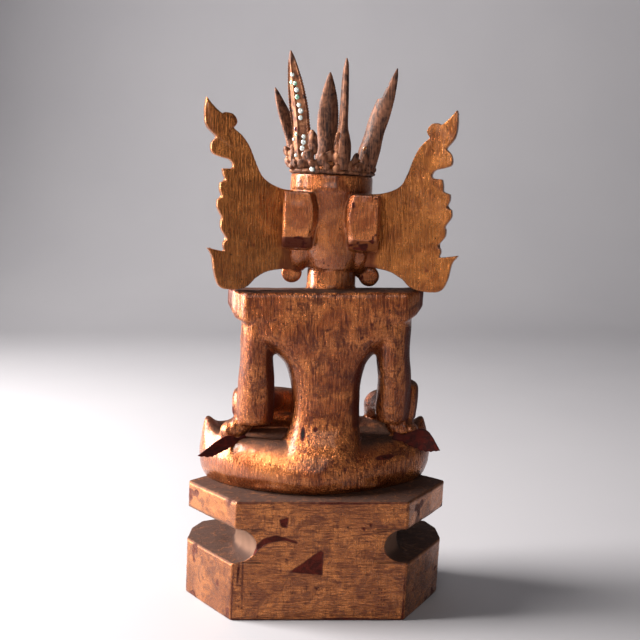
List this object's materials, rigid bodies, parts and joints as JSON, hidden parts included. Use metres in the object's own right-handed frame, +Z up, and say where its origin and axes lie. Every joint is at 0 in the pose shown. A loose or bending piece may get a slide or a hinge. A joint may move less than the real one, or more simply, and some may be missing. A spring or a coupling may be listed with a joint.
{
  "type": "seated buddha statue",
  "caption": "Carved and gilded wooden figure of a crowned Buddha with wing-like flanges and a pointed crown, seated on a waisted throne.",
  "frame": {"origin": "centre of the throne's flat underside, on the surface that it stands on", "axes": "+Z up, the figure looks along -Y, and its own left hand is towards +X"},
  "size_m": [0.2498, 0.1306, 0.4968],
  "materials": {
    "gilded_wood": "worn gold leaf over dark red lacquer, satin",
    "dark_crown_wood": "dark lacquer with traces of gilding, satin",
    "red_lacquered_wood": "dusty dark red lacquer, satin"
  },
  "bodies": {
    "root": {"throne": "gilded_wood", "figure": "gilded_wood", "left_wing": "gilded_wood", "right_wing": "gilded_wood", "crown_wreath": "dark_crown_wood", "front_spire": "dark_crown_wood", "left_front_spire": "dark_crown_wood", "left_back_spire": "dark_crown_wood", "back_spire": "dark_crown_wood", "right_spire": "dark_crown_wood", "left_sash_end": "red_lacquered_wood", "right_sash_end": "red_lacquered_wood"}
  },
  "joints": []
}
